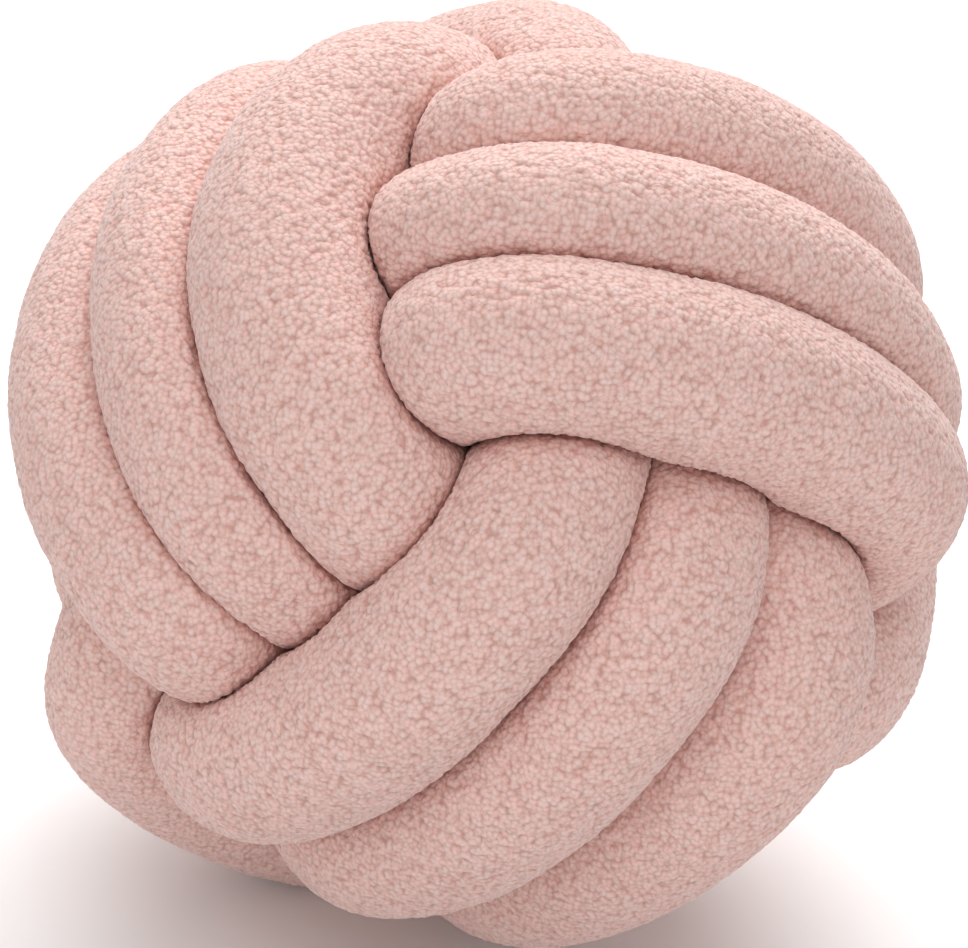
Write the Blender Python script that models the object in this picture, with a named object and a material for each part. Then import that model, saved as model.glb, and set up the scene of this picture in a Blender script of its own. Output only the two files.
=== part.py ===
"""Knot ball cushion: one long stuffed tube of fleece wound into a round monkey's fist knot.

The tube goes three times round in each of three crossing bands. Each band is outermost where
it crosses one axis of the knot and dives under the next band where it crosses the following
axis, so the ball shows six patches of three strands. The free ends are tucked in the middle.
"""
import bpy
import bmesh
import numpy as np
from math import asin, cos, degrees, radians, sin, sqrt
from mathutils import Euler, Vector
from mathutils.kdtree import KDTree

# Sizes in metres.
BALL_RADIUS = 0.150
HIDDEN_RADIUS = 0.074       # middle line of the hidden passes, from the ball's centre
HIDDEN_PITCH = 0.038        # side by side spacing of the hidden passes
HIDDEN_TUBE = 0.027         # stuffed tube's radius in the hidden passes
CROSSING_RADIUS = 0.120     # middle line of a strand at the edge of its patch
DIVE_SPAN = 30.0            # degrees over which a strand dives under the edge of the next band
HOLD_SPAN = 10.0            # degrees over which a strand starts to give way to its neighbours
SHIFT_HALF = 42.0           # degrees either side of its middle in which a pass slides along
BOW_ANGLE = 45.0            # degrees from a patch's middle at which bow and twist are measured
PRESS_GAP = 0.0027          # left between strands that touch
EDGE_SOFTNESS = 0.0016      # rounds the edge where a pressed wall meets the free crown
OWN_LENGTH = 0.066          # stretch of tube on either side that doesn't press on itself
END_LENGTH = 0.030          # gathered length at each free end
END_RADIUS = 0.010
FLAT_DEPTH = 0.0080         # how far the resting spot is pressed in

# Way points of a band's three turns, in degrees.
FIRST_WAY = -66.0
LAST_WAY = 966.0
WAY_POINTS = 130

# Drawing the winding tight.
SETTLE_STEP = 0.008
SETTLE_ROUNDS = 150
SETTLE_PUSH = 0.25          # part of an overlap that each round takes out
CLOSENESS = 0.73            # strands settle this part of their two radii apart
WAY_SMOOTHING = 2           # rounds of evening out, before and after
LINE_SMOOTHING = 8

# How the knot is turned, as it lies on its resting spot.
KNOT_TURN = (radians(-34.3), radians(-25.4), radians(-154.1))

# Resolution of the solid.
RINGS = 350
BEVEL_RESOLUTION = 6
GUIDE_RADIUS = 0.004
FINE_STEP = 0.003
THINNEST = 0.2              # a pressed tube keeps this part of its radius
RING_SHARE = 0.85           # a ring reaches this far towards where it would meet the next one
LEAST_FACING = 0.002        # a strand less than this far ahead of a point doesn't press on it
LEAST_CLOSING = 0.01
MERGE = 0.00002

# The three strands of each band, in millimetres: sideways place at the near patch's middle,
# slant per degree along the strand, bow and twist towards its ends, middle line's distance
# from the ball's centre, tube's radius and its swell per degree, degrees by which its two
# ends dive late, and the place, slant and distance at the far patch.
# place slant bow twist out tube swell late_end late_start far_place far_slant far_out
STRANDS = {
    0: ((49.2, -0.09, 11.2, -3.7, 116.9, 30.5, 0.00, -2.7, -6.7, 39.5, 0.02, 127.5),
        (9.0, 0.10, 1.8, -3.2, 121.2, 24.1, -0.03, 0.8, 1.8, 3.3, 0.02, 125.4),
        (-33.3, 0.14, 14.9, 3.1, 124.2, 27.6, 0.02, 1.9, 0.4, -43.4, -0.03, 122.7)),
    1: ((56.3, -0.09, -1.8, -5.1, 124.4, 27.8, -0.02, 4.4, 3.7, 28.5, 0.14, 119.2),
        (7.5, -0.12, 0.3, -2.8, 123.0, 27.6, -0.02, 3.7, 1.6, -23.9, -0.02, 113.0),
        (-47.8, -0.12, -1.2, -5.0, 128.8, 28.2, 0.05, -3.9, 5.4, -59.3, -0.02, 117.9)),
    2: ((48.0, 0.01, -6.2, 0.4, 133.7, 26.1, -0.01, 0.6, -2.8, 70.5, 0.06, 134.6),
        (8.8, 0.01, 0.3, -2.6, 131.1, 24.0, 0.01, -3.0, 0.7, 19.4, 0.03, 118.1),
        (-35.6, 0.11, 3.4, 1.9, 127.6, 26.5, -0.04, -7.2, 1.8, -38.5, -0.02, 122.9)),
}

# Middle line between the end of one band and the start of the next, through the core.
CORE_LINK = ((0.000, -0.052, -0.040), (0.030, -0.026, -0.045), (0.040, 0.010, -0.060))


def ease(x):
    x = np.clip(x, 0.0, 1.0)
    return x * x * (3.0 - 2.0 * x)


def turned(band, outward, inward, sideways):
    """A point given along the band's own three directions, as a point of the knot."""
    point = [0.0, 0.0, 0.0]
    point[band % 3] = outward
    point[(band + 1) % 3] = inward
    point[(band + 2) % 3] = sideways
    return point


def dive_end(band, around):
    """Angle from the patch's middle at which a strand has dived under the crossing band."""
    crossing = STRANDS[(band + 1) % 3]
    strand = crossing[0] if abs(around) < 90.0 else crossing[2]
    place = strand[0] if around > 0.0 else strand[9]
    return 90.0 - degrees(asin(0.001 * abs(place) / CROSSING_RADIUS))


def band_point(band, angle):
    """Middle line at an angle, in degrees, counted on through the band's three turns."""
    around = (angle + 180.0) % 360.0 - 180.0
    near = abs(around) < 90.0
    level = 0.0
    for turn in (1, 2):
        level += ease((angle - (360.0 * turn - 90.0) + SHIFT_HALF) / (2.0 * SHIFT_HALF))
    row = [np.interp(level, (0.0, 1.0, 2.0), column) for column in zip(*STRANDS[band])]
    place, slant, bow, twist, out, tube, swell = row[:7]
    late_end, late_start, far_place, far_slant, far_out = row[7:]
    end = dive_end(band, around)
    if near:
        from_patch = abs(around)
        end += late_end if around > 0.0 else late_start
        along = around / BOW_ANGLE
        place += slant * around + bow * along ** 2 + twist * along ** 3
        tube += swell * around
    else:
        from_patch = 180.0 - abs(around)
        place = far_place + far_slant * (around % 360.0 - 180.0)
        out = far_out
    showing = ease((end - from_patch) / DIVE_SPAN)
    hold = ease((end - DIVE_SPAN + HOLD_SPAN - from_patch) / HOLD_SPAN)
    hidden_place = (1.0 - level) * HIDDEN_PITCH
    side = hidden_place + (0.001 * place - hidden_place) * showing
    reach = HIDDEN_RADIUS + (0.001 * out - HIDDEN_RADIUS) * showing
    flat = sqrt(max(reach * reach - side * side, 0.0))
    a = radians(angle)
    radius = HIDDEN_TUBE + (0.001 * tube - HIDDEN_TUBE) * showing
    return turned(band, flat * cos(a), flat * sin(a), side), radius, hold


def middle_line():
    """Way points, each with the tube's radius and how firmly it is held, from end to end."""
    points = []
    values = []
    for link in CORE_LINK[2:]:
        points.append(turned(2, *link))
        values.append((HIDDEN_TUBE, 0.0))
    for band in (0, 1, 2):
        for angle in np.linspace(FIRST_WAY, LAST_WAY, WAY_POINTS):
            point, radius, hold = band_point(band, angle)
            points.append(point)
            values.append((radius, hold))
        for link in CORE_LINK[:1] if band == 2 else CORE_LINK:
            points.append(turned(band, *link))
            values.append((HIDDEN_TUBE, 0.0))
    return np.array(points), np.array(values)


def spaced(line, values, step):
    """The same curve with evenly spaced points."""
    along = np.concatenate([[0.0], np.cumsum(np.linalg.norm(np.diff(line, axis=0), axis=1))])
    places = np.linspace(0.0, along[-1], int(round(along[-1] / step)) + 1)
    columns = [np.interp(places, along, column) for column in np.hstack([line, values]).T]
    return np.stack(columns[:3], axis=1), np.stack(columns[3:], axis=1), places


def smoothed(line, rounds):
    line = line.copy()
    for _ in range(rounds):
        line[1:-1] = 0.25 * line[:-2] + 0.5 * line[1:-1] + 0.25 * line[2:]
    return line


def settled(line, values, along):
    """Moves the hidden passes until neighbouring strands lie side by side."""
    shown = line.copy()
    hold = values[:, 1:2]
    radii = values[:, 0]
    reach = CLOSENESS * (radii[:, None] + radii[None, :])
    own = np.abs(along[:, None] - along[None, :]) < OWN_LENGTH
    rows = np.arange(len(line))
    for _ in range(SETTLE_ROUNDS):
        apart = line[:, None, :] - line[None, :, :]
        distance = np.sqrt((apart ** 2).sum(axis=2)) + 1e-9
        overlap = np.where(own, -1.0, reach - distance)
        nearest = overlap.argmax(axis=1)
        push = np.maximum(overlap[rows, nearest], 0.0) / distance[rows, nearest]
        line = line + SETTLE_PUSH * push[:, None] * apart[rows, nearest]
        line = smoothed(line, 1)
        outside = np.linalg.norm(line, axis=1) + radii
        over = (outside - BALL_RADIUS) / BALL_RADIUS * (1.0 - hold[:, 0])
        line = line * np.minimum(1.0, 1.0 - over)[:, None]
        line = line + (shown - line) * hold
    return line


def tapered(radii, along):
    """Gathers the tube in at its two free ends."""
    from_end = np.minimum(along, along[-1] - along)
    grow = np.sqrt(1.0 - (1.0 - np.clip(from_end / END_LENGTH, 0.0, 1.0)) ** 2)
    return END_RADIUS + (radii - END_RADIUS) * grow


def knot_line():
    """The tube's middle line, its radius and the length along it, at fine even steps."""
    line, values, along = spaced(*middle_line(), SETTLE_STEP)
    line = settled(smoothed(line, WAY_SMOOTHING), values, along)
    fine, values, along = spaced(line, values, FINE_STEP)
    return smoothed(fine, LINE_SMOOTHING), tapered(values[:, 0], along), along


def soft_least(values, softness):
    low = min(values)
    return low - softness * np.log(sum(np.exp((low - value) / softness) for value in values))


def pressed_radius(centre, direction, radius, place, line, line_radii, line_along, planes):
    """Radius of the tube in one direction, flattened where other strands press against it."""
    away = line - centre
    facing = away @ direction
    usable = (np.abs(line_along - place) > OWN_LENGTH) & (facing > LEAST_FACING)
    limits = [radius]
    if usable.any():
        square = np.einsum("ij,ij->i", away[usable], away[usable])
        shared = square + radius ** 2 - line_radii[usable] ** 2 - PRESS_GAP * np.sqrt(square)
        limits.append(max(np.min(shared / (2.0 * facing[usable])), THINNEST * radius))
    for point, along in planes:
        closing = direction @ along
        if closing > LEAST_CLOSING:
            limits.append(RING_SHARE * ((point - centre) @ along) / closing)
    return soft_least(limits, EDGE_SOFTNESS)


def stuffed_tube(collection, material):
    fine, fine_radii, fine_along = knot_line()
    places = np.linspace(0.0, fine_along[-1], RINGS)
    line = np.stack([np.interp(places, fine_along, fine[:, k]) for k in range(3)], axis=1)
    radii = np.interp(places, fine_along, fine_radii)
    along = np.gradient(line, axis=0)
    along /= np.linalg.norm(along, axis=1)[:, None]

    curve = bpy.data.curves.new("tube_line", "CURVE")
    curve.dimensions = "3D"
    curve.bevel_depth = GUIDE_RADIUS
    curve.bevel_resolution = BEVEL_RESOLUTION
    curve.use_fill_caps = True
    curve.twist_mode = "MINIMUM"
    spline = curve.splines.new("POLY")
    spline.points.add(len(line) - 1)
    for point, place in zip(spline.points, line):
        point.co = (*place, 1.0)
    guide = bpy.data.objects.new("tube_line", curve)
    collection.objects.link(guide)
    bpy.context.view_layer.update()
    evaluated = guide.evaluated_get(bpy.context.evaluated_depsgraph_get())
    mesh = bpy.data.meshes.new_from_object(evaluated)
    bpy.data.objects.remove(guide)

    nearest = KDTree(len(line))
    for i, place in enumerate(line):
        nearest.insert(place, i)
    nearest.balance()

    bm = bmesh.new()
    bm.from_mesh(mesh)
    bmesh.ops.remove_doubles(bm, verts=bm.verts, dist=MERGE)
    turn = Euler(KNOT_TURN, "XYZ").to_matrix()
    for vert in bm.verts:
        _, i, _ = nearest.find(vert.co)
        direction = np.array(vert.co) - line[i]
        direction /= np.linalg.norm(direction)
        planes = [(line[j], along[j] * (j - i)) for j in (i - 1, i + 1) if 0 <= j < len(line)]
        reach = pressed_radius(line[i], direction, radii[i], places[i],
                               fine, fine_radii, fine_along, planes)
        vert.co = turn @ Vector(line[i] + direction * reach)
    low = min(vert.co.z for vert in bm.verts) + FLAT_DEPTH
    for vert in bm.verts:
        vert.co.z = max(vert.co.z - low, 0.0)
    spans = [[vert.co[k] for vert in bm.verts] for k in (0, 1)]
    middle = [0.5 * (min(span) + max(span)) for span in spans]
    bmesh.ops.translate(bm, verts=bm.verts, vec=(-middle[0], -middle[1], 0.0))
    bmesh.ops.recalc_face_normals(bm, faces=bm.faces)
    bmesh.ops.triangulate(bm, faces=bm.faces)
    bm.to_mesh(mesh)
    bm.free()
    mesh.name = "stuffed_tube"
    mesh.shade_smooth()
    mesh.materials.clear()
    mesh.materials.append(material)
    tube = bpy.data.objects.new("stuffed_tube", mesh)
    collection.objects.link(tube)
    return tube


def fleece(name, colour):
    material = bpy.data.materials.new(name)
    material.use_nodes = True
    shader = material.node_tree.nodes["Principled BSDF"]
    shader.inputs["Base Color"].default_value = (*colour, 1.0)
    shader.inputs["Roughness"].default_value = 0.95
    shader.inputs["Metallic"].default_value = 0.0
    return material


def main():
    for item in list(bpy.data.objects):
        bpy.data.objects.remove(item)
    collection = bpy.data.collections.new("knot_ball_cushion")
    bpy.context.scene.collection.children.link(collection)
    stuffed_tube(collection, fleece("pink_fleece", (0.78, 0.57, 0.52)))


main()
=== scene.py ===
"""Looks of the knot ball cushion: a stuffed tube of pink curly fleece, wound into a round knot."""

from math import asin, cos, degrees, pi, radians, sin, sqrt

import bmesh
import bpy
import numpy as np
from mathutils import Euler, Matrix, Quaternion, Vector
from mathutils.bvhtree import BVHTree


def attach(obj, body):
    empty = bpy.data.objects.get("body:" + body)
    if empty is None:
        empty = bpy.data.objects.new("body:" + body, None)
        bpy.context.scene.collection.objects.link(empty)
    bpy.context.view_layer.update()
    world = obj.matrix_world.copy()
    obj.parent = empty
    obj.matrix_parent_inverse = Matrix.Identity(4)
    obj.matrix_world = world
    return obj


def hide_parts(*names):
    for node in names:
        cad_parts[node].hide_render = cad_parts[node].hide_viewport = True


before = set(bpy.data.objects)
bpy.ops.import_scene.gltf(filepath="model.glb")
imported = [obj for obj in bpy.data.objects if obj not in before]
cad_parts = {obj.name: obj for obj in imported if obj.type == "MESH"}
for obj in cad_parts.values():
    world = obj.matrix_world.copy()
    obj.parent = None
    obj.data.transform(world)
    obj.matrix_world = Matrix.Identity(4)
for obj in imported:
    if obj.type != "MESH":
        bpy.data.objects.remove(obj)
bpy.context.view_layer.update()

# The winding, in metres and degrees, as in the solid.
BALL_RADIUS = 0.150
HIDDEN_RADIUS = 0.074
HIDDEN_PITCH = 0.038
HIDDEN_TUBE = 0.027
CROSSING_RADIUS = 0.120
DIVE_SPAN = 30.0
HOLD_SPAN = 10.0
SHIFT_HALF = 42.0
BOW_ANGLE = 45.0
OWN_LENGTH = 0.066
END_LENGTH = 0.030
END_RADIUS = 0.010
FIRST_WAY = -66.0
LAST_WAY = 966.0
WAY_POINTS = 130
SETTLE_STEP = 0.008
SETTLE_ROUNDS = 150
SETTLE_PUSH = 0.25
CLOSENESS = 0.73
WAY_SMOOTHING = 2
LINE_SMOOTHING = 8
FINE_STEP = 0.003
KNOT_TURN = (radians(-34.3), radians(-25.4), radians(-154.1))
KNOT_CENTRE = (-0.00383, 0.00338, 0.15154)

# Each band's three strands, in millimetres, as in the solid.
# place slant bow twist out tube swell late_end late_start far_place far_slant far_out
STRANDS = {
    0: ((49.2, -0.09, 11.2, -3.7, 116.9, 30.5, 0.00, -2.7, -6.7, 39.5, 0.02, 127.5),
        (9.0, 0.10, 1.8, -3.2, 121.2, 24.1, -0.03, 0.8, 1.8, 3.3, 0.02, 125.4),
        (-33.3, 0.14, 14.9, 3.1, 124.2, 27.6, 0.02, 1.9, 0.4, -43.4, -0.03, 122.7)),
    1: ((56.3, -0.09, -1.8, -5.1, 124.4, 27.8, -0.02, 4.4, 3.7, 28.5, 0.14, 119.2),
        (7.5, -0.12, 0.3, -2.8, 123.0, 27.6, -0.02, 3.7, 1.6, -23.9, -0.02, 113.0),
        (-47.8, -0.12, -1.2, -5.0, 128.8, 28.2, 0.05, -3.9, 5.4, -59.3, -0.02, 117.9)),
    2: ((48.0, 0.01, -6.2, 0.4, 133.7, 26.1, -0.01, 0.6, -2.8, 70.5, 0.06, 134.6),
        (8.8, 0.01, 0.3, -2.6, 131.1, 24.0, 0.01, -3.0, 0.7, 19.4, 0.03, 118.1),
        (-35.6, 0.11, 3.4, 1.9, 127.6, 26.5, -0.04, -7.2, 1.8, -38.5, -0.02, 122.9)),
}
CORE_LINK = ((0.000, -0.052, -0.040), (0.030, -0.026, -0.045), (0.040, 0.010, -0.060))

# The camera: its rise and tilt in degrees, its reach in ball radii, and in the picture's own
# pixels the ball's radius, the middle of the ball and the size of the picture.
CAMERA_RISE = 25.5
CAMERA_TILT = 5.0
CAMERA_REACH = 6.5
FILM_WIDTH = 36.0
BALL_PIXELS = 477.0
BALL_MIDDLE = (476.6, 457.7)
PICTURE = (968.0, 948.0)

# Soft lights round the ball: place and diameter in metres, and power in watts.
ROOM_LIGHT = 0.44
FLOOR_RADIUS = 1.3          # past this the white room shows
FLOOR_SIDES = 96
FLOOR_WHITE = (0.93, 0.93, 0.93)
FLOOR_ROUGHNESS = 0.9
LIGHTS = (
    ("key_light", (-0.9, -0.9, 1.7), 1.4, 2.0),
    ("front_light", (0.0, -2.0, 0.7), 1.4, 4.4),
    ("front_top_light", (0.0, -1.1, 1.9), 1.6, 11.5),
    ("back_top_light", (0.0, 1.3, 1.6), 1.6, 41.0),
)

# The cloth of the tube, in metres.
FLEECE_GAP = 0.0006         # between the cloth of two strands that touch
EDGE_SOFTNESS = 0.0013
# The grooves' painted shade deepens with how far the cloth is pressed in, and is full at this
# depth.
GROOVE_DEPTH = 0.0025       # cloth pressed in as far as this is as dark and red as it gets
NEIGHBOUR_REACH = 0.08      # strands farther off don't press
LEAST_FACING = 0.002
THINNEST = 0.2              # of the tube's radius
RING_SHARE = 0.85           # of the bend's radius, so that rings don't cross in a bend
LEAST_CLOSING = 1.0
RING_STEP = 0.00115         # finest spacing along the tube
SIDES = 152                 # finest spacing round it
COARSE = 4                  # hidden cloth is this many times coarser
CENTRE_SMOOTHING = 6
BEND_SMOOTHING = 8
OUTWARD_SMOOTHING = 40
MERGE = 0.000002

# Which cloth shows: each patch of it looks out along some slanting ways, in degrees.
INNER_CORE = 0.080          # nothing this near to the middle shows
OUTER_SHELL = 0.140         # cloth past this faces outwards
LOOK_RISES = (90.0, 55.0, 22.0)
LOOK_TURNS = 8
LOOK_START = 0.0008
LOOK_REACH = 0.5
LEAST_OPEN = 0.02
SHOWN_MARGIN = 2            # coarse cells made fine round the cloth that shows

# The curls of the fleece, in metres or as shares.
CURL_SIZE = 0.0017
CURL_SCATTER = 0.80         # 0 sets the curls in rows, 1 at random
CURL_WANDER = 0.5           # how far they are pushed about, in curls
WANDER_RATE = 0.9           # turns of that drift for each curl
CURL_REACH = 0.95           # a curl's reach from its middle, in curls
CRIMP_SIZE = 0.0045
CRIMP_SHARE = 0.22          # of the relief, the rest being curls
CREASE_WIDTH = 0.0016       # the crimps' creases, as a square of the noise's own range
CURL_RISE = 0.0014          # of the raised cloth
CURL_DEPTH = 0.0014         # of the finer relief in the material
CURL_STRENGTH = 0.6
LUMP_SIZE = 0.036
LUMP_RISE = 0.0016

# Its colours: height of the fleece and colour there, the low end darkened as painted shade in the
# creases between curls and the high end lightened as painted highlight on the curl tops, and what
# each curl is tinted with.
PINKS_WITH_PAINTED_LIGHT = (
    (0.30, (0.70, 0.41, 0.355, 1.0)),
    (0.64, (0.80, 0.54, 0.485, 1.0)),
    (0.97, (0.91, 0.665, 0.615, 1.0)),
)
WARM_CURL = (1.0, 0.92, 0.91, 1.0)
GREY_CURL = (0.94, 0.96, 0.96, 1.0)
# Painted shade, dark and red, multiplied in where the cloth of two strands is pressed together in
# the grooves.
GROOVE_PAINTED_SHADE = (0.76, 0.48, 0.42, 1.0)
ROUGHNESS = 0.92
SHINE = 0.2
SHEEN = 0.40
SHEEN_ROUGHNESS = 0.4
SHEEN_COLOUR = (1.0, 0.97, 0.97, 1.0)


def ease(x):
    x = np.clip(x, 0.0, 1.0)
    return x * x * (3.0 - 2.0 * x)


def turned(band, outward, inward, sideways):
    """A point given along the band's own three directions, as a point of the knot."""
    point = [0.0, 0.0, 0.0]
    point[band % 3] = outward
    point[(band + 1) % 3] = inward
    point[(band + 2) % 3] = sideways
    return point


def dive_end(band, around):
    """Angle from the patch's middle at which a strand has dived under the crossing band."""
    crossing = STRANDS[(band + 1) % 3]
    strand = crossing[0] if abs(around) < 90.0 else crossing[2]
    place = strand[0] if around > 0.0 else strand[9]
    return 90.0 - degrees(asin(0.001 * abs(place) / CROSSING_RADIUS))


def band_point(band, angle):
    """Middle line at an angle, in degrees, counted on through the band's three turns."""
    around = (angle + 180.0) % 360.0 - 180.0
    near = abs(around) < 90.0
    level = 0.0
    for turn in (1, 2):
        level += ease((angle - (360.0 * turn - 90.0) + SHIFT_HALF) / (2.0 * SHIFT_HALF))
    row = [np.interp(level, (0.0, 1.0, 2.0), column) for column in zip(*STRANDS[band])]
    place, slant, bow, twist, out, tube, swell = row[:7]
    late_end, late_start, far_place, far_slant, far_out = row[7:]
    end = dive_end(band, around)
    if near:
        from_patch = abs(around)
        end += late_end if around > 0.0 else late_start
        along = around / BOW_ANGLE
        place += slant * around + bow * along ** 2 + twist * along ** 3
        tube += swell * around
    else:
        from_patch = 180.0 - abs(around)
        place = far_place + far_slant * (around % 360.0 - 180.0)
        out = far_out
    showing = ease((end - from_patch) / DIVE_SPAN)
    hold = ease((end - DIVE_SPAN + HOLD_SPAN - from_patch) / HOLD_SPAN)
    hidden_place = (1.0 - level) * HIDDEN_PITCH
    side = hidden_place + (0.001 * place - hidden_place) * showing
    reach = HIDDEN_RADIUS + (0.001 * out - HIDDEN_RADIUS) * showing
    flat = sqrt(max(reach * reach - side * side, 0.0))
    a = radians(angle)
    radius = HIDDEN_TUBE + (0.001 * tube - HIDDEN_TUBE) * showing
    return turned(band, flat * cos(a), flat * sin(a), side), radius, hold


def middle_line():
    """Way points with the tube's radius, how firmly it is held and the turn of the winding."""
    points = []
    values = []
    for link in CORE_LINK[2:]:
        points.append(turned(2, *link))
        values.append((HIDDEN_TUBE, 0.0, 0.0))
    for band in (0, 1, 2):
        for angle in np.linspace(FIRST_WAY, LAST_WAY, WAY_POINTS):
            point, radius, hold = band_point(band, angle)
            points.append(point)
            values.append((radius, hold, 3.0 * band + (angle + 90.0) / 360.0))
        for link in CORE_LINK[:1] if band == 2 else CORE_LINK:
            points.append(turned(band, *link))
            values.append((HIDDEN_TUBE, 0.0, 3.0 * band + 3.0))
    return np.array(points), np.array(values)


def spaced(line, values, step):
    """The same curve with evenly spaced points."""
    along = np.concatenate([[0.0], np.cumsum(np.linalg.norm(np.diff(line, axis=0), axis=1))])
    places = np.linspace(0.0, along[-1], int(round(along[-1] / step)) + 1)
    columns = [np.interp(places, along, column) for column in np.hstack([line, values]).T]
    return np.stack(columns[:3], axis=1), np.stack(columns[3:], axis=1), places


def smoothed(line, rounds):
    line = line.copy()
    for _ in range(rounds):
        line[1:-1] = 0.25 * line[:-2] + 0.5 * line[1:-1] + 0.25 * line[2:]
    return line


def settled(line, values, along):
    """Moves the hidden passes until neighbouring strands lie side by side."""
    shown = line.copy()
    hold = values[:, 1:2]
    radii = values[:, 0]
    reach = CLOSENESS * (radii[:, None] + radii[None, :])
    own = np.abs(along[:, None] - along[None, :]) < OWN_LENGTH
    rows = np.arange(len(line))
    for _ in range(SETTLE_ROUNDS):
        apart = line[:, None, :] - line[None, :, :]
        distance = np.sqrt((apart ** 2).sum(axis=2)) + 1e-9
        overlap = np.where(own, -1.0, reach - distance)
        nearest = overlap.argmax(axis=1)
        push = np.maximum(overlap[rows, nearest], 0.0) / distance[rows, nearest]
        line = line + SETTLE_PUSH * push[:, None] * apart[rows, nearest]
        line = smoothed(line, 1)
        outside = np.linalg.norm(line, axis=1) + radii
        over = (outside - BALL_RADIUS) / BALL_RADIUS * (1.0 - hold[:, 0])
        line = line * np.minimum(1.0, 1.0 - over)[:, None]
        line = line + (shown - line) * hold
    return line


def tapered(radii, along):
    """Gathers the tube in at its two free ends."""
    from_end = np.minimum(along, along[-1] - along)
    grow = np.sqrt(1.0 - (1.0 - np.clip(from_end / END_LENGTH, 0.0, 1.0)) ** 2)
    return END_RADIUS + (radii - END_RADIUS) * grow


def knot_line():
    line, values, along = spaced(*middle_line(), SETTLE_STEP)
    line = settled(smoothed(line, WAY_SMOOTHING), values, along)
    fine, values, along = spaced(line, values, FINE_STEP)
    return smoothed(fine, LINE_SMOOTHING), tapered(values[:, 0], along), along, values[:, 2]


def unit(vectors):
    return vectors / np.maximum(np.linalg.norm(vectors, axis=-1, keepdims=True), 1e-9)


def cloth_surface():
    """The tube's cloth on a fine lattice: points, how far each is pressed in, each ring's turn."""
    line, radii, along, turns = knot_line()
    count = int(round(along[-1] / RING_STEP / COARSE)) * COARSE + 1
    places = np.linspace(0.0, along[-1], count)
    centres = np.stack([np.interp(places, along, line[:, k]) for k in range(3)], axis=1)
    centres = smoothed(centres, CENTRE_SMOOTHING)
    ring_radii = np.interp(places, along, radii)
    ring_turns = np.interp(places, along, turns)
    step = places[1]
    ahead = unit(np.gradient(centres, axis=0))
    bend = smoothed(np.gradient(ahead, axis=0) / step, BEND_SMOOTHING)
    outward = centres - (centres * ahead).sum(axis=1)[:, None] * ahead
    outward = smoothed(outward, OUTWARD_SMOOTHING)
    outward = unit(outward - (outward * ahead).sum(axis=1)[:, None] * ahead)
    sideways = np.cross(ahead, outward)
    angles = np.linspace(-pi, pi, SIDES + 1)[:-1]
    surface = np.empty((count, SIDES, 3))
    pressed = np.empty((count, SIDES))
    for i in range(count):
        ways = np.cos(angles)[:, None] * outward[i] + np.sin(angles)[:, None] * sideways[i]
        away = line - centres[i]
        square = (away ** 2).sum(axis=1)
        near = (square < NEIGHBOUR_REACH ** 2) & (np.abs(along - places[i]) > OWN_LENGTH)
        radius = ring_radii[i]
        limits = [np.full(SIDES, radius)]
        if near.any():
            facing = away[near] @ ways.T
            shared = square[near] + radius ** 2 - radii[near] ** 2
            shared = shared - FLEECE_GAP * np.sqrt(square[near])
            wall = shared[:, None] / (2.0 * np.maximum(facing, LEAST_FACING))
            wall = np.where(facing > LEAST_FACING, wall, 1.0)
            limits.append(np.maximum(wall.min(axis=0), THINNEST * radius))
        closing = ways @ bend[i]
        inner = RING_SHARE / np.maximum(closing, LEAST_CLOSING)
        limits.append(np.where(closing > LEAST_CLOSING, inner, 1.0))
        low = np.minimum.reduce(limits)
        spread = sum(np.exp((low - limit) / EDGE_SOFTNESS) for limit in limits)
        reach = low - EDGE_SOFTNESS * np.log(spread)
        surface[i] = centres[i] + ways * reach[:, None]
        pressed[i] = np.clip((radius - reach) / GROOVE_DEPTH, 0.0, 1.0)
    turn = np.array(Euler(KNOT_TURN, "XYZ").to_matrix())
    return surface @ turn.T + np.array(KNOT_CENTRE), pressed, ring_turns


def seen_from_outside(surface):
    """Which coarse cells of the lattice show from outside the ball."""
    rough = surface[::COARSE, ::COARSE]
    rings, sides = rough.shape[:2]
    corners = rough.reshape(-1, 3)
    cells = []
    for i in range(rings - 1):
        for j in range(sides):
            k = (j + 1) % sides
            cells.append((i * sides + j, i * sides + k, (i + 1) * sides + k, (i + 1) * sides + j))
    tree = BVHTree.FromPolygons([Vector(c) for c in corners], cells)
    quads = corners[np.array(cells)]
    middles = quads.mean(axis=1)
    facing = unit(np.cross(quads[:, 2] - quads[:, 0], quads[:, 1] - quads[:, 3]))
    core = np.array(KNOT_CENTRE)
    far = np.linalg.norm(middles - core, axis=1)
    outside = unit(middles - core)
    if (facing * outside).sum(axis=1)[far > OUTER_SHELL].mean() < 0.0:
        facing = -facing
    tilts = []
    for rise in LOOK_RISES:
        level, up = cos(radians(rise)), sin(radians(rise))
        for turn in range(1 if rise == 90.0 else LOOK_TURNS):
            a = radians(360.0 / LOOK_TURNS * turn)
            tilts.append((level * cos(a), level * sin(a), up))
    seen = np.zeros(len(cells), bool)
    for n in range(len(cells)):
        if far[n] < INNER_CORE:
            continue
        up = Vector(outside[n])
        normal = Vector(facing[n])
        a = up.orthogonal().normalized()
        b = up.cross(a)
        start = Vector(middles[n]) + normal * LOOK_START
        for tilt in tilts:
            way = a * tilt[0] + b * tilt[1] + up * tilt[2]
            if way.dot(normal) > LEAST_OPEN and tree.ray_cast(start, way, LOOK_REACH)[0] is None:
                seen[n] = True
                break
    seen = seen.reshape(rings - 1, sides)
    for _ in range(SHOWN_MARGIN):
        grown = seen.copy()
        grown[1:] |= seen[:-1]
        grown[:-1] |= seen[1:]
        seen = grown | np.roll(seen, 1, axis=1) | np.roll(seen, -1, axis=1)
    return seen


def maths(tree, operation, *values):
    node = tree.nodes.new("ShaderNodeMath")
    node.operation = operation
    for socket, value in zip(node.inputs, values):
        feed(tree, socket, value)
    return node.outputs[0]


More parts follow.
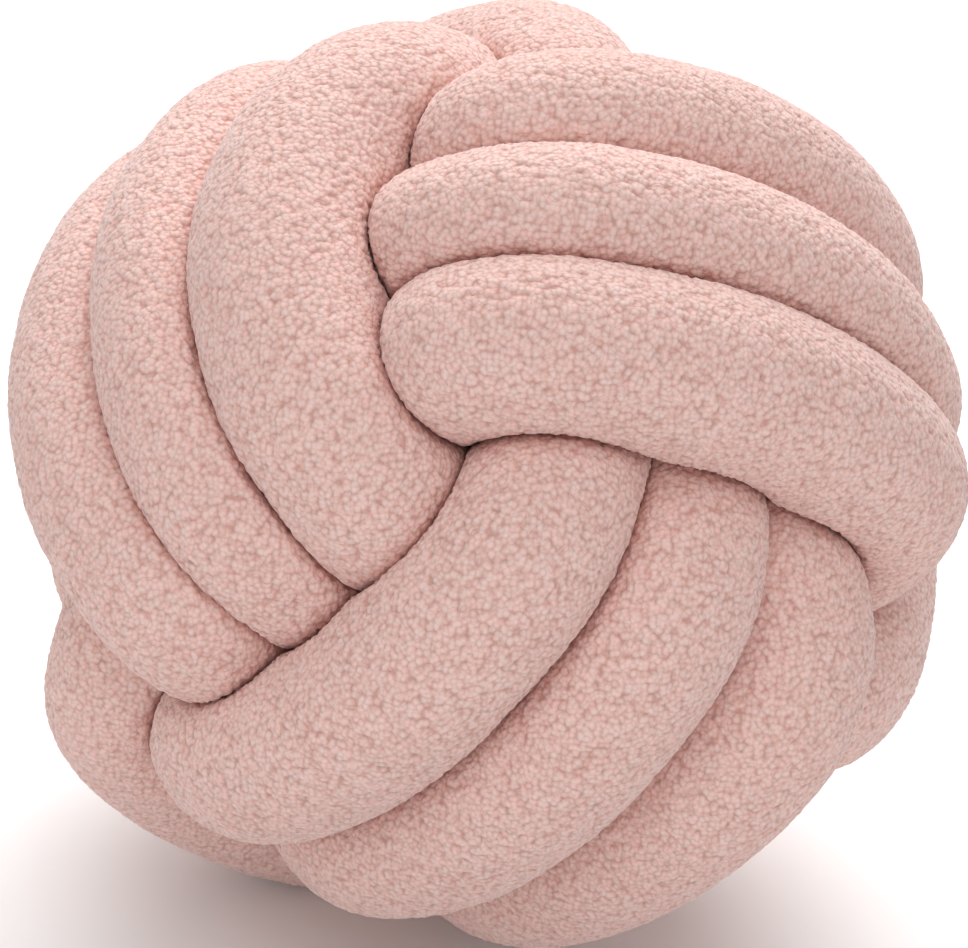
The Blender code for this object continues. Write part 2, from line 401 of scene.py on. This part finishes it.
def vector_maths(tree, operation, *values):
    node = tree.nodes.new("ShaderNodeVectorMath")
    node.operation = operation
    for socket, value in zip(node.inputs, values):
        feed(tree, socket, value)
    return node.outputs[0]


def feed(tree, socket, value):
    if isinstance(value, bpy.types.NodeSocket):
        tree.links.new(value, socket)
    else:
        socket.default_value = value


def mixed(tree, way, amount, first, second):
    """Two colours mixed or multiplied."""
    node = tree.nodes.new("ShaderNodeMix")
    node.data_type = "RGBA"
    node.blend_type = way
    feed(tree, node.inputs[0], amount)
    feed(tree, node.inputs[6], first)
    feed(tree, node.inputs[7], second)
    return node.outputs[2]


def wander(tree, place, size, amount):
    """The place, pushed about a little so that the curls don't lie in rows."""
    drift = tree.nodes.new("ShaderNodeTexNoise")
    drift.inputs["Scale"].default_value = WANDER_RATE / size
    drift.inputs["Detail"].default_value = 1.0
    feed(tree, drift.inputs["Vector"], place)
    shift = tree.nodes.new("ShaderNodeVectorMath")
    shift.operation = "SCALE"
    even = vector_maths(tree, "SUBTRACT", drift.outputs["Color"], (0.5, 0.5, 0.5))
    feed(tree, shift.inputs[0], even)
    shift.inputs["Scale"].default_value = amount * size
    return vector_maths(tree, "ADD", place, shift.outputs[0])


def curls(tree, place, size):
    """Round curls: height from 0 in the creases to 1 on top, and a random colour for each."""
    cell = tree.nodes.new("ShaderNodeTexVoronoi")
    cell.feature = "F1"
    cell.inputs["Scale"].default_value = 1.0 / size
    cell.inputs["Randomness"].default_value = CURL_SCATTER
    feed(tree, cell.inputs["Vector"], wander(tree, place, size, CURL_WANDER))
    off = maths(tree, "DIVIDE", cell.outputs["Distance"], CURL_REACH)
    dome = maths(tree, "SUBTRACT", 1.0, maths(tree, "MULTIPLY", off, off))
    return maths(tree, "MAXIMUM", dome, 0.0), cell.outputs["Color"]


def crimps(tree, place, size):
    """Winding creases between tufts: 0 in the crease and nearly 1 away from it."""
    wave = tree.nodes.new("ShaderNodeTexNoise")
    wave.inputs["Scale"].default_value = 1.0 / size
    wave.inputs["Detail"].default_value = 0.0
    feed(tree, wave.inputs["Vector"], place)
    off = maths(tree, "SUBTRACT", wave.outputs["Fac"], 0.5)
    square = maths(tree, "MULTIPLY", off, off)
    return maths(tree, "DIVIDE", square, maths(tree, "ADD", square, CREASE_WIDTH))


def fleece_relief(tree, place):
    """Height of the fleece, 0 to 1, and a colour for each curl."""
    tuft, tone = curls(tree, place, CURL_SIZE)
    crimp = crimps(tree, place, CRIMP_SIZE)
    return maths(tree, "ADD", maths(tree, "MULTIPLY", tuft, 1.0 - CRIMP_SHARE),
                 maths(tree, "MULTIPLY", crimp, CRIMP_SHARE)), tone


def fleece_group():
    tree = bpy.data.node_groups.new("curly_fleece", "ShaderNodeTree")
    tree.interface.new_socket(name="Place", in_out="INPUT", socket_type="NodeSocketVector")
    tree.interface.new_socket(name="Height", in_out="OUTPUT", socket_type="NodeSocketFloat")
    tree.interface.new_socket(name="Tone", in_out="OUTPUT", socket_type="NodeSocketFloat")
    given = tree.nodes.new("NodeGroupInput")
    made = tree.nodes.new("NodeGroupOutput")
    height, tone = fleece_relief(tree, given.outputs["Place"])
    tree.links.new(height, made.inputs["Height"])
    split = tree.nodes.new("ShaderNodeSeparateColor")
    tree.links.new(tone, split.inputs[0])
    tree.links.new(split.outputs[0], made.inputs["Tone"])
    return tree


def fleece_material():
    material = bpy.data.materials.new("pink_fleece")
    material.use_nodes = True
    tree = material.node_tree
    shader = tree.nodes["Principled BSDF"]
    place = tree.nodes.new("ShaderNodeAttribute")
    place.attribute_name = "cloth_place"
    relief = tree.nodes.new("ShaderNodeGroup")
    relief.node_tree = fleece_group()
    tree.links.new(place.outputs["Vector"], relief.inputs["Place"])
    height = relief.outputs["Height"]
    # The height ramp paints shade into the creases between curls and a highlight onto the curl
    # tops, over the pink of the cloth.
    ramp = tree.nodes.new("ShaderNodeValToRGB")
    tree.links.new(height, ramp.inputs["Fac"])
    marks = ramp.color_ramp.elements
    marks.remove(marks[0])
    marks[0].position, marks[0].color = PINKS_WITH_PAINTED_LIGHT[-1]
    for position, pink in PINKS_WITH_PAINTED_LIGHT[:-1]:
        marks.new(position).color = pink
    shade = mixed(tree, "MIX", relief.outputs["Tone"], WARM_CURL, GREY_CURL)
    colour = mixed(tree, "MULTIPLY", 1.0, ramp.outputs["Color"], shade)
    # Painted shade in the grooves between strands, as strong as the cloth is pressed in.
    pressed = tree.nodes.new("ShaderNodeAttribute")
    pressed.attribute_name = "cloth_pressed"
    colour = mixed(tree, "MULTIPLY", pressed.outputs["Fac"], colour, GROOVE_PAINTED_SHADE)
    tree.links.new(colour, shader.inputs["Base Color"])
    shader.inputs["Roughness"].default_value = ROUGHNESS
    shader.inputs["Specular IOR Level"].default_value = SHINE
    shader.inputs["Sheen Weight"].default_value = SHEEN
    shader.inputs["Sheen Roughness"].default_value = SHEEN_ROUGHNESS
    shader.inputs["Sheen Tint"].default_value = SHEEN_COLOUR
    bump = tree.nodes.new("ShaderNodeBump")
    bump.inputs["Strength"].default_value = CURL_STRENGTH
    bump.inputs["Distance"].default_value = CURL_DEPTH
    tree.links.new(height, bump.inputs["Height"])
    tree.links.new(bump.outputs["Normal"], shader.inputs["Normal"])
    return material


def fleece_raiser():
    """Geometry nodes that raise the curls and the tube's soft lumps from the cloth."""
    tree = bpy.data.node_groups.new("raised_fleece", "GeometryNodeTree")
    tree.interface.new_socket(name="Geometry", in_out="INPUT", socket_type="NodeSocketGeometry")
    tree.interface.new_socket(name="Geometry", in_out="OUTPUT", socket_type="NodeSocketGeometry")
    given = tree.nodes.new("NodeGroupInput")
    made = tree.nodes.new("NodeGroupOutput")
    place = tree.nodes.new("GeometryNodeInputNamedAttribute")
    place.data_type = "FLOAT_VECTOR"
    place.inputs["Name"].default_value = "cloth_place"
    height, _ = fleece_relief(tree, place.outputs["Attribute"])
    lump = tree.nodes.new("ShaderNodeTexNoise")
    lump.inputs["Scale"].default_value = 1.0 / LUMP_SIZE
    lump.inputs["Detail"].default_value = 1.0
    tree.links.new(place.outputs["Attribute"], lump.inputs["Vector"])
    swell = maths(tree, "SUBTRACT", lump.outputs["Fac"], 0.5)
    rise = maths(tree, "ADD", maths(tree, "MULTIPLY", height, CURL_RISE),
                 maths(tree, "MULTIPLY", swell, LUMP_RISE))
    rise = maths(tree, "SUBTRACT", rise, 0.5 * CURL_RISE)
    normal = tree.nodes.new("GeometryNodeInputNormal")
    offset = tree.nodes.new("ShaderNodeVectorMath")
    offset.operation = "SCALE"
    tree.links.new(normal.outputs[0], offset.inputs[0])
    tree.links.new(rise, offset.inputs["Scale"])
    move = tree.nodes.new("GeometryNodeSetPosition")
    tree.links.new(given.outputs[0], move.inputs["Geometry"])
    tree.links.new(offset.outputs[0], move.inputs["Offset"])
    tree.links.new(move.outputs[0], made.inputs[0])
    return tree


def turn_of_tube(name, surface, pressed, seen, material, raiser):
    """One turn of the tube as a closed piece, fine where it shows."""
    rings, sides = seen.shape
    bm = bmesh.new()
    bmesh.ops.create_grid(bm, x_segments=rings, y_segments=sides, size=1.0)
    for vert in bm.verts:
        vert.co.x = round((vert.co.x + 1.0) * 0.5 * rings) * COARSE
        vert.co.y = round((vert.co.y + 1.0) * 0.5 * sides) * COARSE
    edges = set()
    for face in bm.faces:
        middle = face.calc_center_median()
        if seen[int(middle.x // COARSE), int(middle.y // COARSE)]:
            edges.update(face.edges)
    bmesh.ops.subdivide_edges(bm, edges=list(edges), cuts=COARSE - 1, use_grid_fill=True)
    last = surface.shape[1]
    groove = bm.verts.layers.float.new("cloth_pressed")
    for vert in bm.verts:
        ring, side = int(round(vert.co.x)), int(round(vert.co.y)) % last
        vert.co = surface[ring, side]
        vert[groove] = pressed[ring, side]
    bmesh.ops.remove_doubles(bm, verts=bm.verts, dist=MERGE)
    rim = [edge for edge in bm.edges if edge.is_boundary]
    bmesh.ops.holes_fill(bm, edges=rim, sides=0)
    bmesh.ops.recalc_face_normals(bm, faces=bm.faces)
    bmesh.ops.triangulate(bm, faces=[face for face in bm.faces if len(face.verts) > 4])
    mesh = bpy.data.meshes.new(name)
    bm.to_mesh(mesh)
    bm.free()
    mesh.shade_smooth()
    mesh.materials.append(material)
    places = np.empty(len(mesh.vertices) * 3, np.float32)
    mesh.vertices.foreach_get("co", places)
    mesh.attributes.new("cloth_place", "FLOAT_VECTOR", "POINT").data.foreach_set("vector", places)
    piece = bpy.data.objects.new(name, mesh)
    bpy.context.scene.collection.objects.link(piece)
    lift = piece.modifiers.new("raised_fleece", "NODES")
    lift.node_group = raiser
    bpy.context.view_layer.update()
    finished = piece.evaluated_get(bpy.context.evaluated_depsgraph_get())
    raised = bpy.data.meshes.new_from_object(finished)
    piece.modifiers.clear()
    piece.data = raised
    bpy.data.meshes.remove(mesh)
    raised.name = name
    places = np.empty(len(raised.vertices) * 3, np.float32)
    raised.vertices.foreach_get("co", places)
    places[2::3] = np.maximum(places[2::3], 0.0)
    raised.vertices.foreach_set("co", places)
    raised.update()
    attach(piece, "root")
    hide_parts("stuffed_tube")


def cushion():
    surface, pressed, ring_turns = cloth_surface()
    seen = seen_from_outside(surface)
    material = fleece_material()
    raiser = fleece_raiser()
    starts = [0]
    for turn in range(1, 9):
        starts.append(int(np.searchsorted(ring_turns, turn)) // COARSE)
    starts.append(seen.shape[0])
    for n in range(9):
        low, high = starts[n], starts[n + 1]
        rings = slice(low * COARSE, high * COARSE + 1)
        turn_of_tube(f"tube_turn_{n + 1}", surface[rings], pressed[rings], seen[low:high],
                     material, raiser)


def plain(name, colour, roughness):
    material = bpy.data.materials.new(name)
    material.use_nodes = True
    shader = material.node_tree.nodes["Principled BSDF"]
    shader.inputs["Base Color"].default_value = (*colour, 1.0)
    shader.inputs["Roughness"].default_value = roughness
    return material


def floor():
    bm = bmesh.new()
    bmesh.ops.create_circle(bm, cap_ends=True, segments=FLOOR_SIDES, radius=FLOOR_RADIUS)
    mesh = bpy.data.meshes.new("pale_floor")
    bm.to_mesh(mesh)
    bm.free()
    mesh.materials.append(plain("pale_floor", FLOOR_WHITE, FLOOR_ROUGHNESS))
    piece = bpy.data.objects.new("pale_floor", mesh)
    bpy.context.scene.collection.objects.link(piece)


def soft_light(name, place, size, power):
    light = bpy.data.lights.new(name, "AREA")
    light.shape = "DISK"
    light.size = size
    light.energy = power
    lamp = bpy.data.objects.new(name, light)
    lamp.location = place
    lamp.rotation_euler = (Vector(place) - Vector(KNOT_CENTRE)).to_track_quat("Z", "Y").to_euler()
    bpy.context.scene.collection.objects.link(lamp)


def studio():
    world = bpy.data.worlds.new("white_room")
    bpy.context.scene.world = world
    world.use_nodes = True
    sky = world.node_tree.nodes["Background"]
    sky.inputs["Color"].default_value = (1.0, 1.0, 1.0, 1.0)
    rays = world.node_tree.nodes.new("ShaderNodeLightPath")
    white = maths(world.node_tree, "MULTIPLY", rays.outputs["Is Camera Ray"], 1.0 - ROOM_LIGHT)
    strength = maths(world.node_tree, "ADD", ROOM_LIGHT, white)
    world.node_tree.links.new(strength, sky.inputs["Strength"])
    for name, place, size, power in LIGHTS:
        soft_light(name, place, size, power)
    bpy.context.scene.view_settings.view_transform = "Standard"


def camera():
    """The photograph's camera: a long lens, 25.5 degrees above the horizon and tilted by 5."""
    back = Vector((0.0, -cos(radians(CAMERA_RISE)), sin(radians(CAMERA_RISE))))
    data = bpy.data.cameras.new("camera")
    eye = bpy.data.objects.new("camera", data)
    bpy.context.scene.collection.objects.link(eye)
    eye.location = Vector(KNOT_CENTRE) + back * CAMERA_REACH * BALL_RADIUS
    level = back.to_track_quat("Z", "Y")
    eye.rotation_euler = (Quaternion(back, radians(CAMERA_TILT)) @ level).to_euler()
    width, height = PICTURE
    data.sensor_width = FILM_WIDTH
    data.lens = BALL_PIXELS * sqrt(CAMERA_REACH ** 2 - 1.0) / width * FILM_WIDTH
    data.shift_x = (0.5 * width - BALL_MIDDLE[0]) / width
    data.shift_y = (BALL_MIDDLE[1] - 0.5 * height) / width
    bpy.context.scene.camera = eye


camera()
studio()
floor()
cushion()
